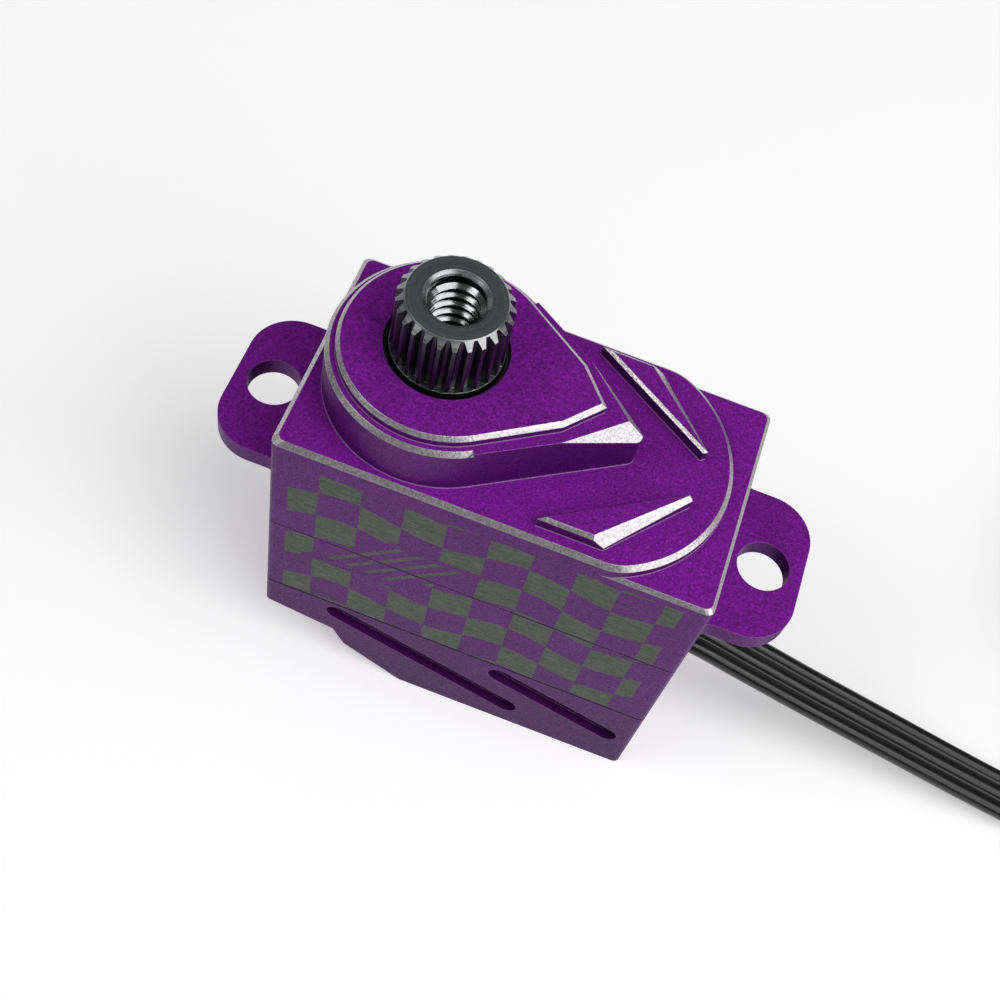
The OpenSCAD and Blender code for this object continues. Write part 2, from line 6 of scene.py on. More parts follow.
import bmesh
import bpy
from mathutils import Euler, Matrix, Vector


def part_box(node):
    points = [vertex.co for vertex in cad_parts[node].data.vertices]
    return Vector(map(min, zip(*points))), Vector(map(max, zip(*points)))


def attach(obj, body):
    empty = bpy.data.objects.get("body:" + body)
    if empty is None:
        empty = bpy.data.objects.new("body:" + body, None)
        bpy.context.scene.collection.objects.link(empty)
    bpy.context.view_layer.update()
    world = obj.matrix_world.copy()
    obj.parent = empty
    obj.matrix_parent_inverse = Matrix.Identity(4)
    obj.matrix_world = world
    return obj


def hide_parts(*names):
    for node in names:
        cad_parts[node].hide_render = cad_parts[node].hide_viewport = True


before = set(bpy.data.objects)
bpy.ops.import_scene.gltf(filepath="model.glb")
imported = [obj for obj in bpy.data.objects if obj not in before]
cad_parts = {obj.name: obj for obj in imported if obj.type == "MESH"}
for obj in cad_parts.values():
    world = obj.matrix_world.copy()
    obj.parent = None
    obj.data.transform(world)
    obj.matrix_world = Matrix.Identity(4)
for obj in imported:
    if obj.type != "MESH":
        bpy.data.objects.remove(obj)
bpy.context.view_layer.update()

bl_info = {
    "name": "Micro servo looks",
    "version": (1, 0, 0),
    "blender": (4, 5, 0),
    "location": "3D View > Sidebar > Servo",
    "description": "Finishes, lead, thread and studio of a micro servo motor around its CAD frame",
    "category": "Object",
}

MM = 0.001

# ---------- places taken from the CAD ----------

CASE_LOW, CASE_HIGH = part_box("middle_case")
SHAFT_LOW, SHAFT_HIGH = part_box("output_shaft")
SHAFT_X = (SHAFT_LOW.x + SHAFT_HIGH.x) / 2
JOINT_Z = CASE_LOW.z
# Height of the case's top round the deck, given from the CAD
LEDGE_Z = 21.75 * MM

# ---------- the lead's route, as the CAD lays it ----------

# Points where the lead isn't coiled, then how many degrees it is turned on edge at each
LEAD_ROUTE = [
    (0.0126, 0, 0.0078), (0.0131, 0, 0.0078), (0.0142, 0, 0.00758), (0.016, 0, 0.007),
    (0.0185, 0, 0.00625), (0.021, 0, 0.0055), (0.0245, 0, 0.00455), (0.028, 0, 0.0036),
    (0.032, 0, 0.0025), (0.036, 0, 0.0015), (0.039, 0, 0.00095), (0.042, 0, 0.0009),
    (0.045, 0, 0.00122), (0.048, 0, 0.00155), (0.051, 0, 0.00163), (0.0545, 0, 0.00163),
]
LEAD_TURN = [0, 0, 0, 0, 0, 0, 0, 0, 0, 0, 0, 15, 35, 60, 85, 90]
EDGE_Z = LEAD_ROUTE[-1][2]
COIL_R = 18.2 * MM
COIL_CENTRE = Vector((LEAD_ROUTE[-1][0], COIL_R, 0))
COIL_START = -90
COIL_SWEEP = 387
COIL_INNER_R = 17.1 * MM
# The lead starts to leave the outer turn, and is on the inner one, after these degrees
COIL_PART_AT = 60
COIL_INSIDE_AT = 300
TAIL_R = 9 * MM
TAIL_START = COIL_START + COIL_SWEEP - 360
TIE_ANGLE = (COIL_START + TAIL_START) / 2
TAIL_SWEEP = 110
TAIL_DROP = 0.34 * MM
TAIL_STRAIGHT = 2 * MM
LEAD_IN_SHELL = 0.5 * MM
HEADING = TAIL_START + TAIL_SWEEP + 90


# ---------- what a user may change ----------


def length_value(name, text, default):
    return bpy.props.FloatProperty(
        name=name, description=text, default=default, unit="LENGTH", subtype="DISTANCE", precision=5)


def color_value(name, text, default):
    return bpy.props.FloatVectorProperty(
        name=name, description=text, default=default, size=3, min=0, max=1, subtype="COLOR")


class CaseValues(bpy.types.PropertyGroup):
    anodised: color_value("Anodised", "Colour of the anodised case", (0.25, 0.016, 0.37))
    cut: color_value("Cut edges", "Bare metal where chamfers were cut", (0.56, 0.53, 0.55))
    etched: color_value("Etching", "Metal laid bare by the etched pattern", (0.09, 0.1, 0.086))
    seam: length_value("Seam", "Height of the dark seams between the case's parts", 0.1 * MM)
    tab_low: length_value("Tab height", "Height above which level faces keep the full colour", 15.5 * MM)
    # Painted shade: how much the upright sides, and level faces below the tab height, are darkened beside
    # the deck's colour
    painted_side_shade: bpy.props.FloatProperty(
        name="Side tone", description="Brightness of the upright sides beside the deck's", default=0.34,
        min=0, max=1, subtype="FACTOR")
    grain: length_value("Grain", "Size of the blasted surface's pits", 0.13 * MM)
    soft_edge: length_value("Edge radius", "Radius of the broken edges", 0.05 * MM)
    square: length_value("Square", "Width of an etched square", 2.35 * MM)
    square_h: length_value("Square height", "Height of an etched square", 2.4 * MM)
    wave: length_value("Wave", "Rise and fall of the etched rows", 0.55 * MM)


class ShaftValues(bpy.types.PropertyGroup):
    steel: color_value("Steel", "Colour of the output shaft", (0.36, 0.37, 0.38))
    tap_r: length_value("Hole radius", "Radius of the tapped hole", 1.5 * MM)
    crest_r: length_value("Crest radius", "Radius inside the thread's crests", 1.23 * MM)
    pitch: length_value("Pitch", "Rise of the thread in one turn", 0.65 * MM)
    turns: bpy.props.IntProperty(name="Turns", description="Turns of thread", default=9, min=3, max=10)


class LeadValues(bpy.types.PropertyGroup):
    jacket: color_value("Jacket", "Colour of the lead's jacket", (0.006, 0.006, 0.007))
    core_r: length_value("Core radius", "Radius of one insulated core", 0.53 * MM)
    core_gap: length_value("Core spacing", "Distance between the cores' middles", 1.06 * MM)
    total: length_value("Length", "Length from the case to the connector", 0.18)


class StageValues(bpy.types.PropertyGroup):
    floor: color_value("Floor", "Colour of the floor", (0.88, 0.88, 0.88))
    glow: bpy.props.FloatProperty(name="Glow", description="Light that the floor gives off", default=0.34)
    key: bpy.props.FloatProperty(name="Key", description="Brightness of the large softbox", default=1.8)
    sky: bpy.props.FloatProperty(name="Sky", description="Strength of the light all round", default=0.12)


# ---------- materials ----------


class Finish:
    """The nodes of one material, with short calls for the kinds used here."""

    def __init__(self, name, **fixed):
        self.material = bpy.data.materials.new(name)
        self.material.use_nodes = True
        self.tree = self.material.node_tree
        self.shader = self.tree.nodes["Principled BSDF"]
        source = self.tree.nodes.new("ShaderNodeTexCoord")
        self.place, self.facing, self.uv = (source.outputs[k] for k in ("Object", "Normal", "UV"))
        for key, value in fixed.items():
            self.shader.inputs[key.replace("_", " ")].default_value = value

    def feed(self, socket, value):
        if isinstance(value, bpy.types.NodeSocket):
            self.tree.links.new(value, socket)
        else:
            socket.default_value = value

    def set(self, **linked):
        for key, value in linked.items():
            self.feed(self.shader.inputs[key.replace("_", " ")], value)

    def node(self, kind, output=0, settings=(), numbered=(), **inputs):
        made = self.tree.nodes.new("ShaderNode" + kind)
        for key, value in dict(settings).items():
            setattr(made, key, value)
        for index, value in dict(numbered).items():
            self.feed(made.inputs[index], value)
        for key, value in inputs.items():
            self.feed(made.inputs[key.replace("_", " ")], value)
        return made.outputs[output]

    def math(self, operation, *values):
        made = self.tree.nodes.new("ShaderNodeMath")
        made.operation = operation
        for socket, value in zip(made.inputs, values):
            self.feed(socket, value)
        return made.outputs[0]

    def both(self, first, *others):
        """Product of masks."""
        for other in others:
            first = self.math("MULTIPLY", first, other)
        return first

    def between(self, value, low, high):
        return self.both(self.math("GREATER_THAN", value, low), self.math("LESS_THAN", value, high))

    def split(self, vector):
        made = self.tree.nodes.new("ShaderNodeSeparateXYZ")
        self.feed(made.inputs[0], vector)
        return list(made.outputs)

    def spread(self, value, low, high, to_low, to_high):
        return self.node("MapRange", Value=value, From_Min=low, From_Max=high,
                         To_Min=to_low, To_Max=to_high)

    def vary(self, noise, low, high):
        """Spreads a noise's middle range over low to high."""
        return self.spread(noise, 0.3, 0.7, low, high)

    def mix(self, share, first, second):
        made = self.tree.nodes.new("ShaderNodeMix")
        made.data_type = "RGBA"
        for index, value in ((0, share), (6, first), (7, second)):
            self.feed(made.inputs[index], value)
        return made.outputs[2]

    def noise(self, size, detail=2.0, stretch=None):
        place = self.place
        if stretch:
            place = self.node("Mapping", Vector=place, Scale=stretch)
        return self.node("TexNoise", Vector=place, Scale=1 / size, Detail=detail)

    def shade(self, color, factor):
        """The colour times a grey factor that varies over the surface."""
        return self.node("VectorMath", settings={"operation": "SCALE"}, Vector=rgb(color), Scale=factor)

    def soft(self, radius):
        return self.node("Bevel", settings={"samples": 6}, Radius=radius)

    def bump(self, height, depth, normal=None):
        inputs = {"Height": height, "Distance": depth, "Strength": 1.0}
        if normal is not None:
            inputs["Normal"] = normal
        return self.node("Bump", **inputs)


def rgb(color):
    return tuple(color)[:3]


def etched_marks(finish, values):
    """Mask of the chequered rows and the four slanting strokes on the case's front side."""
    left, right, bottom, top = -10.9 * MM, 10.6 * MM, JOINT_Z + 0.15 * MM, 21 * MM
    wave_start, wave_length = -10 * MM, 10 * MM
    column_start, row_start = -9.2 * MM, 16.5 * MM
    # An even number of squares is added, so that no square is counted below zero
    spare = 10
    x, _, z = finish.split(finish.place)
    turn = finish.math("MULTIPLY", finish.math("SUBTRACT", x, wave_start), 2 * math.pi / wave_length)
    wave = finish.math("MULTIPLY", finish.math("SINE", turn), values.wave)
    across = finish.math("ADD", x, spare * values.square - column_start)
    upwards = finish.math("ADD", finish.math("SUBTRACT", z, wave), spare * values.square_h - row_start)
    column = finish.math("FLOOR", finish.math("DIVIDE", across, values.square))
    row = finish.math("FLOOR", finish.math("DIVIDE", upwards, values.square_h))
    parity = finish.math("MODULO", finish.math("ADD", column, row), 2.0)
    squares = finish.math("GREATER_THAN", parity, 0.5)

    # Strokes rise at 45 degrees, so x - z says which stroke a point is on
    slant = finish.math("SUBTRACT", x, z)
    stroke_low, stroke_high = 12.5 * MM, 16.5 * MM
    margin_low, margin_high = 0.7 * MM, 0.4 * MM
    first, gap, count = -20.7 * MM, 1.1 * MM, 4
    start = first - gap / 2
    phase = finish.math("FRACT", finish.math("DIVIDE", finish.math("SUBTRACT", slant, start), gap))
    strokes = finish.both(finish.between(z, stroke_low, stroke_high),
                          finish.between(slant, start, first + (count - 0.5) * gap),
                          finish.between(phase, 0.33, 0.67))
    clear = finish.both(finish.between(z, stroke_low - margin_low, stroke_high + margin_high),
                        finish.between(slant, first - gap, first + count * gap))
    marks = finish.math("MAXIMUM", strokes, finish.both(squares, finish.math("SUBTRACT", 1.0, clear)))
    _, facing_y, _ = finish.split(finish.facing)
    front = finish.math("LESS_THAN", facing_y, -0.9)
    return finish.both(marks, front, finish.between(x, left, right), finish.between(z, bottom, top))


def anodised_metal(values):
    """Blasted and anodised aluminium, with bright cut chamfers on the deck and an etched side."""
    ledge_chamfer, corner_reach = 0.32 * MM, 0.16 * MM
    # The second colour is a lighter purple painted along edges as a highlight
    lit_corner, edge_highlight = (0.6, 0.36, 0.64, 1), (0.55, 0.3, 0.6, 1)
    dark_seam = (0.012, 0.004, 0.016, 1)
    finish = Finish("anodised_case", Specular_IOR_Level=0.22)
    _, _, z = finish.split(finish.place)
    flatness = finish.math("ABSOLUTE", finish.split(finish.facing)[2])
    cut = finish.both(finish.between(flatness, 0.25, 0.95),
                      finish.math("GREATER_THAN", z, LEDGE_Z - ledge_chamfer))
    marks = etched_marks(finish, values)

    # Purple: grained, with painted glints on bright flecks; painted shade darkens the upright sides and
    # the lower level faces, and more so towards the base
    grain = finish.noise(values.grain, detail=3.0)
    cloud = finish.vary(finish.noise(3 * MM, detail=1.0), -0.07, 0.07)
    # Painted glints: the lightest random cells of this pattern are painted brighter, as sparkle on the
    # blasted metal
    glint_fleck = finish.split(finish.node("TexVoronoi", 1, Vector=finish.place, Scale=1.4 / values.grain))[0]
    tone = finish.math("ADD", finish.spread(grain, 0.32, 0.68, 0.68, 1.36), cloud)
    tone = finish.math("ADD", tone, finish.spread(glint_fleck, 0.8, 1.0, 0.0, 0.55))
    upright = finish.both(finish.spread(z, 2 * MM, 13 * MM, 0.68, 1.0), values.painted_side_shade)
    level = finish.both(finish.spread(flatness, 0.2, 0.9, 0.0, 1.0),
                        finish.math("GREATER_THAN", z, values.tab_low))
    tone = finish.both(tone, finish.spread(level, 0, 1, upright, 1.0))
    purple = finish.shade(values.anodised, tone)

    # Painted highlight: edges are painted lighter, where the rounded normal leaves the face's own
    rounded = finish.soft(values.soft_edge)
    own = finish.node("NewGeometry", 1)
    agree = finish.node("VectorMath", 1, {"operation": "DOT_PRODUCT"}, {0: rounded, 1: own})
    purple = finish.mix(finish.spread(agree, 0.9, 0.99, 0.45, 0.0), purple, edge_highlight)
    corner = finish.node("AmbientOcclusion", output=1, settings={"only_local": True, "samples": 8},
                         Distance=corner_reach)
    line = finish.both(finish.spread(corner, 0.75, 0.55, 0.0, 0.5),
                       finish.math("GREATER_THAN", z, LEDGE_Z - 0.1 * MM),
                       finish.math("SUBTRACT", 1.0, cut))
    purple = finish.mix(line, purple, lit_corner)

    streaks = finish.noise(0.25 * MM, stretch=(0.4, 1, 2.5))
    grey = finish.shade(values.etched, finish.vary(streaks, 0.75, 1.25))
    within, beyond = values.seam, values.seam / 2
    seams = finish.math("MAXIMUM", finish.between(z, CASE_LOW.z - beyond, CASE_LOW.z + within),
                        finish.between(z, CASE_HIGH.z - within, CASE_HIGH.z + beyond))
    color = finish.mix(seams, finish.mix(marks, purple, grey), dark_seam)
    bright = finish.shade(values.cut, finish.spread(grain, 0.32, 0.68, 0.7, 1.2))
    finish.set(Base_Color=finish.mix(cut, color, bright))
    finish.set(Metallic=finish.spread(finish.math("MAXIMUM", cut, marks), 0, 1, 0.5, 0.95))

    cells = finish.node("TexVoronoi", Vector=finish.place, Scale=1 / values.grain)
    rough = finish.math("ADD", finish.spread(cells, 0.0, 0.8, 0.36, 0.56),
                        finish.math("MULTIPLY", marks, 0.08))
    finish.set(Roughness=finish.math("SUBTRACT", rough, finish.math("MULTIPLY", cut, 0.14)))
    height = finish.math("ADD", finish.math("MULTIPLY", grain, finish.spread(cut, 0, 1, 1.0, 0.45)),
                         finish.math("MULTIPLY", marks, -0.6))
    finish.set(Normal=finish.bump(height, 0.02 * MM, rounded))
    return finish.material


def turned_steel(name, color, roughness, painted_side_shade=1.0):
    """Machined steel: fine rings about the output shaft, a light grain, and painted shade that darkens its
    sides.
    """
    ring_width, ring_drift = 0.09 * MM, 0.04
    finish = Finish(name, Metallic=1.0)
    grain = finish.noise(0.12 * MM, detail=3.0)
    middle = finish.node("Mapping", Vector=finish.place, Location=(-SHAFT_X, 0, 0))
    x, y, z = finish.split(middle)
    squared = finish.math("ADD", finish.math("MULTIPLY", x, x), finish.math("MULTIPLY", y, y))
    spot = finish.node("CombineXYZ", X=finish.math("SQRT", squared),
                       Y=finish.math("MULTIPLY", z, ring_drift))
    rings = finish.node("TexNoise", settings={"noise_dimensions": "2D"}, Vector=spot,
                        Scale=1 / ring_width, Detail=2.0)
    _, _, facing_z = finish.split(finish.facing)
    # Painted shade: faces that turn away from level are painted darker, down to the side factor
    flank_shade = finish.spread(finish.math("ABSOLUTE", facing_z), 0.2, 0.6, painted_side_shade, 1.0)
    tone = finish.both(finish.vary(grain, 0.86, 1.12), flank_shade)
    finish.set(Base_Color=finish.shade(color, tone))
    finish.set(Roughness=finish.vary(rings, roughness - 0.06, roughness + 0.08))
    finish.set(Normal=finish.bump(rings, 0.005 * MM, finish.soft(0.03 * MM)))
    return finish.material


def cut_metal(name, color, roughness):
    """Cut gear or sheet metal with faint tool lines along the axis."""
    finish = Finish(name, Metallic=1.0)
    lines = finish.noise(0.08 * MM, stretch=(3, 3, 0.4))
    stain = finish.noise(1.5 * MM, detail=2.0)
    finish.set(Base_Color=finish.shade(color, finish.vary(stain, 0.8, 1.1)))
    finish.set(Roughness=finish.vary(stain, roughness - 0.05, roughness + 0.1))
    finish.set(Normal=finish.bump(lines, 0.004 * MM, finish.soft(0.03 * MM)))
    return finish.material


def moulded_plastic(name, color, roughness, grain=0.08 * MM):
    """Moulded plastic or rubber with a fine spark-eroded texture."""
    finish = Finish(name)
    pits = finish.noise(grain, detail=2.0)
    flow = finish.noise(2.5 * MM, detail=1.0)
    finish.set(Base_Color=finish.shade(color, finish.vary(flow, 0.85, 1.15)))
    finish.set(Roughness=finish.vary(pits, roughness - 0.06, roughness + 0.08))
    finish.set(Normal=finish.bump(pits, 0.006 * MM, finish.soft(0.05 * MM)))
    return finish.material


def jacket_plastic(values):
    """Glossy extruded jacket with faint streaks along the lead."""
    finish = Finish("lead_jacket", Coat_Weight=0.3, Coat_Roughness=0.05, Specular_IOR_Level=0.35)
    along = finish.node("Mapping", Vector=finish.uv, Scale=(0.6, 90, 1))
    streaks = finish.node("TexNoise", Vector=along, Scale=1.0, Detail=2.0)
    finish.set(Base_Color=finish.shade(values.jacket, finish.vary(streaks, 0.7, 1.5)))
    finish.set(Roughness=finish.vary(streaks, 0.18, 0.3))
    finish.set(Normal=finish.bump(streaks, 0.006 * MM))
    return finish.material


def board_mask(name, color):
    """Solder mask over copper tracks on a laminate board."""
    finish = Finish(name, Coat_Weight=0.4, Coat_Roughness=0.2, Roughness=0.4)
    cells = finish.node("TexVoronoi", settings={"distance": "MANHATTAN", "feature": "F2"},
                        Vector=finish.place, Scale=1 / (0.9 * MM))
    tracks = finish.between(cells, 0.62, 0.78)
    weave = finish.noise(0.2 * MM, stretch=(1, 4, 1))
    ground = finish.shade(color, finish.vary(weave, 0.8, 1.2))
    finish.set(Base_Color=finish.mix(tracks, ground, (0.06, 0.28, 0.12, 1)))
    finish.set(Normal=finish.bump(tracks, 0.02 * MM))
    return finish.material


def enamel_wire(name, color):
    """Windings: fine enamelled wires side by side."""
    finish = Finish(name, Metallic=0.85, Coat_Weight=0.5)
    wires = finish.node("TexWave", settings={"bands_direction": "Z", "wave_profile": "SIN"},
                        Vector=finish.place, Scale=1 / (0.8 * MM), Distortion=0.4, Detail=1.0)
    # Painted shade and highlight: the colour is darker between the wires and lighter along their middles
    finish.set(Base_Color=finish.shade(color, finish.spread(wires, 0, 1, 0.45, 1.1)))
    finish.set(Roughness=finish.spread(wires, 0, 1, 0.5, 0.28))
    finish.set(Normal=finish.bump(wires, 0.05 * MM))
    return finish.material


def put_on(material, *nodes):
    """Gives CAD nodes this material in all their slots."""
    for name in nodes:
        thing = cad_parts[name]
        for held in thing.material_slots:
            held.material = material


# ---------- modelling ----------


def clear_selection():
    if bpy.context.object and bpy.context.object.mode != "OBJECT":
        bpy.ops.object.mode_set(mode="OBJECT")
    bpy.ops.object.select_all(action="DESELECT")


def block(name, low, high):
    """A cube primitive brought to a box's size and place, left active."""
    clear_selection()
    low, high = Vector(low), Vector(high)
    bpy.ops.mesh.primitive_cube_add(size=1, location=(low + high) / 2)
    made = bpy.context.object
    made.name = made.data.name = name
    made.scale = high - low
    bpy.ops.object.transform_apply(location=True, rotation=True, scale=True)
    return made


def slice_at(axis, places):
    """Cuts edges all round the active mesh where planes across one axis meet it."""
    bpy.ops.object.mode_set(mode="EDIT")
    for place in places:
        bpy.ops.mesh.select_all(action="SELECT")
        centre = [0, 0, 0]
        centre[axis] = place
        normal = [0, 0, 0]
        normal[axis] = 1
        bpy.ops.mesh.bisect(plane_co=centre, plane_no=normal)
    bpy.ops.object.mode_set(mode="OBJECT")


def pick(thing, kind, test):
    """Selects the faces or edges that pass the test, in edit mode."""
    bpy.ops.object.mode_set(mode="EDIT")
    bpy.ops.mesh.select_mode(type="FACE" if kind == "faces" else "EDGE")
    bpy.ops.mesh.select_all(action="DESELECT")
    edit = bmesh.from_edit_mesh(thing.data)
    found = [item for item in getattr(edit, kind) if test(item)]
    for item in found:
        item.select_set(True)
    bmesh.update_edit_mesh(thing.data)
    if not found:
        raise RuntimeError(f"{thing.name}: nothing to select there")


def push(offset):
    """Extrudes the picked faces by an offset and goes back to object mode."""
    bpy.ops.mesh.extrude_region_move(TRANSFORM_OT_translate={"value": offset})
    bpy.ops.object.mode_set(mode="OBJECT")


def pocket(thing, normal, low, high, depth):
    """Sinks the faces that look along normal, inside a box, by depth."""
    normal = Vector(normal)
    slack = 1e-6

    def inside(face):
        middle = face.calc_center_median()
        return face.normal.dot(normal) > 0.9 and all(
            low[i] - slack < middle[i] < high[i] + slack for i in range(3))

    pick(thing, "faces", inside)
    push(-depth * normal)


def use_modifier(thing, kind, **settings):
    """Adds a modifier with these settings and applies it."""
    made = thing.modifiers.new(kind.title(), kind)
    for key, value in settings.items():
        setattr(made, key, value)
    bpy.context.view_layer.objects.active = thing
    bpy.ops.object.modifier_apply(modifier=made.name)


def finish_piece(thing, angle=35):
    """Outward normals, and smooth shading with crisp edges."""
    clear_selection()
    thing.select_set(True)
    bpy.context.view_layer.objects.active = thing
    bpy.ops.object.mode_set(mode="EDIT")
    bpy.ops.mesh.select_all(action="SELECT")
    bpy.ops.mesh.remove_doubles(threshold=1e-7)
    bpy.ops.mesh.normals_make_consistent(inside=False)
    bpy.ops.object.mode_set(mode="OBJECT")
    bpy.ops.object.shade_smooth_by_angle(angle=math.radians(angle))
    bpy.ops.object.transform_apply(location=True, rotation=True, scale=True)


def place_piece(thing, location, turn):
    """Moves a piece made at the origin to its place and applies that."""
    clear_selection()
    thing.select_set(True)
    bpy.context.view_layer.objects.active = thing
    thing.location = location
    thing.rotation_euler = (0, 0, math.radians(turn))
    bpy.ops.object.transform_apply(location=True, rotation=True, scale=True)


def dress(thing, material, body="case"):
    thing.data.materials.clear()
    thing.data.materials.append(material)
    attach(thing, body)


# ---------- lead ----------


def around(centre, radius, degrees, z):
    angle = math.radians(degrees)
    return Vector((centre.x + radius * math.cos(angle), centre.y + radius * math.sin(angle), z))


def smooth_step(share):
    share = min(1.0, max(0.0, share))
    return share * share * (3 - 2 * share)


def curved(points, turns):
    """Points and turns along a smooth curve through the given ones."""
    made = []
    steps = 6
    last = len(points) - 1
    for i in range(last):
        near = [points[max(0, min(last, i + k))] for k in (-1, 0, 1, 2)]
        for step in range(steps):
            t = step / steps
            weights = (
                -0.5 * t + t * t - 0.5 * t**3, 1 - 2.5 * t * t + 1.5 * t**3,
                0.5 * t + 2 * t * t - 1.5 * t**3, -0.5 * t * t + 0.5 * t**3)
            place = sum((w * Vector(p) for w, p in zip(weights, near)), Vector((0, 0, 0)))
            made.append((place, turns[i] + (turns[i + 1] - turns[i]) * t))
    return made


def tie_lift(degrees):
    """How far the lead rides up over the tie that passes under it."""
    rise, spread = 0.36 * MM, 14
    return rise * math.exp(-(((degrees - TIE_ANGLE) / spread) ** 2))


def lead_line():
    """Centreline of the lead, with how far it is turned on edge at each point."""
    coil_steps, tail_steps = 150, 24
    line = curved(LEAD_ROUTE, LEAD_TURN)
    for i in range(coil_steps):
        swept = COIL_SWEEP * i / coil_steps
        inward = smooth_step((swept - COIL_PART_AT) / (COIL_INSIDE_AT - COIL_PART_AT))
        radius = COIL_R + (COIL_INNER_R - COIL_R) * inward
        angle = COIL_START + swept
        from_tie = (angle - TIE_ANGLE + 180) % 360 - 180
        line.append((around(COIL_CENTRE, radius, angle, EDGE_Z + tie_lift(TIE_ANGLE + from_tie)), 90))
    tail_centre = around(COIL_CENTRE, COIL_INNER_R - TAIL_R, TAIL_START, 0)
    for i in range(tail_steps + 1):
        share = i / tail_steps
        angle = TAIL_START + TAIL_SWEEP * share
        lift = tie_lift(TAIL_START) * (1 - smooth_step(share * 2))
        place = around(tail_centre, TAIL_R, angle, EDGE_Z + lift - TAIL_DROP * share**2)
        line.append((place, 90 * (1 - share)))
    heading = around(Vector((0, 0, 0)), 1, HEADING, 0)
    end = line[-1][0]
    for share in (0.5, 1.0):
        place = end + TAIL_STRAIGHT * share * heading
        line.append((Vector((place.x, place.y, end.z)), 0))
    return line


def connector_place():
    """Middle of the connector's back face, on the floor, with the lead's end inside it."""
    tail_centre = around(COIL_CENTRE, COIL_INNER_R - TAIL_R, TAIL_START, 0)
    end = around(tail_centre, TAIL_R, TAIL_START + TAIL_SWEEP, 0)
    return end + around(Vector((0, 0, 0)), TAIL_STRAIGHT - LEAD_IN_SHELL, HEADING, 0)


def lead_outline(values):
    """Section of three round cores side by side, as (across, through) pairs."""
    # Degrees from the line through the cores' middles at which two cores meet
    valley = 24
    made = []

    def lobe(core, low, high, count):
        for k in range(count + 1):
            angle = math.radians(low + (high - low) * k / count)
            across = core * values.core_gap + values.core_r * math.cos(angle)
            made.append((across, values.core_r * math.sin(angle)))

    lobe(1, -180 + valley, 180 - valley, 16)
    lobe(0, valley, 180 - valley, 8)
    lobe(-1, valley, 360 - valley, 16)
    lobe(0, 180 + valley, 360 - valley, 8)
    return made


def sweep(name, line, outline):
    """Mesh of an outline carried along a line of (place, turn) pairs, with ends closed and a UV map."""
    made = bmesh.new()
    uv = made.loops.layers.uv.new("along")
    rings, far = [], [0.0]
    for i, (place, turn) in enumerate(line):
        before, after = line[max(i - 1, 0)][0], line[min(i + 1, len(line) - 1)][0]
        along = (after - before).normalized()
        side = Vector((-along.y, along.x, 0)).normalized()
        turn = math.radians(turn)
        wide = math.cos(turn) * side + math.sin(turn) * along.cross(side)
        thin = along.cross(wide)
        rings.append([made.verts.new(place + across * wide + through * thin)
                      for across, through in outline])
        if i:
            far.append(far[-1] + (place - before).length)
    count = len(outline)
    for i in range(len(rings) - 1):
        for k in range(count):
            n = (k + 1) % count
            face = made.faces.new((rings[i][k], rings[i][n], rings[i + 1][n], rings[i + 1][k]))
            face.smooth = True
            spots = ((far[i], k), (far[i], k + 1), (far[i + 1], k + 1), (far[i + 1], k))
            for loop, (u, v) in zip(face.loops, spots):
                loop[uv].uv = (u / MM, v / count)
    made.faces.new(list(reversed(rings[0])))
    made.faces.new(rings[-1])
    bmesh.ops.recalc_face_normals(made, faces=made.faces)
    mesh = bpy.data.meshes.new(name)
    made.to_mesh(mesh)
    made.free()
    thing = bpy.data.objects.new(name, mesh)
    bpy.context.scene.collection.objects.link(thing)
    return thing


# ---------- operators ----------


class SERVO_OT_camera(bpy.types.Operator):
    """Camera above the front of the servo, looking down at its deck"""

    bl_idname = "servo.camera"
    bl_label = "Camera"

    def execute(self, context):
        data = bpy.data.cameras.new("camera")
        data.lens = 51.686
        data.sensor_width = 36
        data.clip_start = 5 * MM
        camera = bpy.data.objects.new("camera", data)
        camera.location = Vector((2.522, -42.523, 84.533)) * MM
        camera.rotation_euler = Euler([math.radians(a) for a in (29.984, -8.791, 18.864)])
        context.scene.collection.objects.link(camera)
        context.scene.camera = camera
        return {"FINISHED"}


class SERVO_OT_lead(bpy.types.Operator):
    """Flat lead of three cores, from the case to its connector, with the spare length coiled"""

    bl_idname = "servo.lead"
    bl_label = "Lead"

    def execute(self, context):
        values = context.scene.servo_lead
        line = lead_line()
        lead = sweep("flat_lead", line, lead_outline(values))
        dress(lead, jacket_plastic(values))
        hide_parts("lead", "lead_coil", "lead_tail")
        tie = make_tie()
        dress(tie, moulded_plastic("tie_plastic", (0.012, 0.012, 0.013), 0.38))
        shell = make_connector_shell()
        dress(shell, moulded_plastic("connector_plastic", (0.012, 0.012, 0.013), 0.42))
        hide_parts("connector_housing")
        return {"FINISHED"}


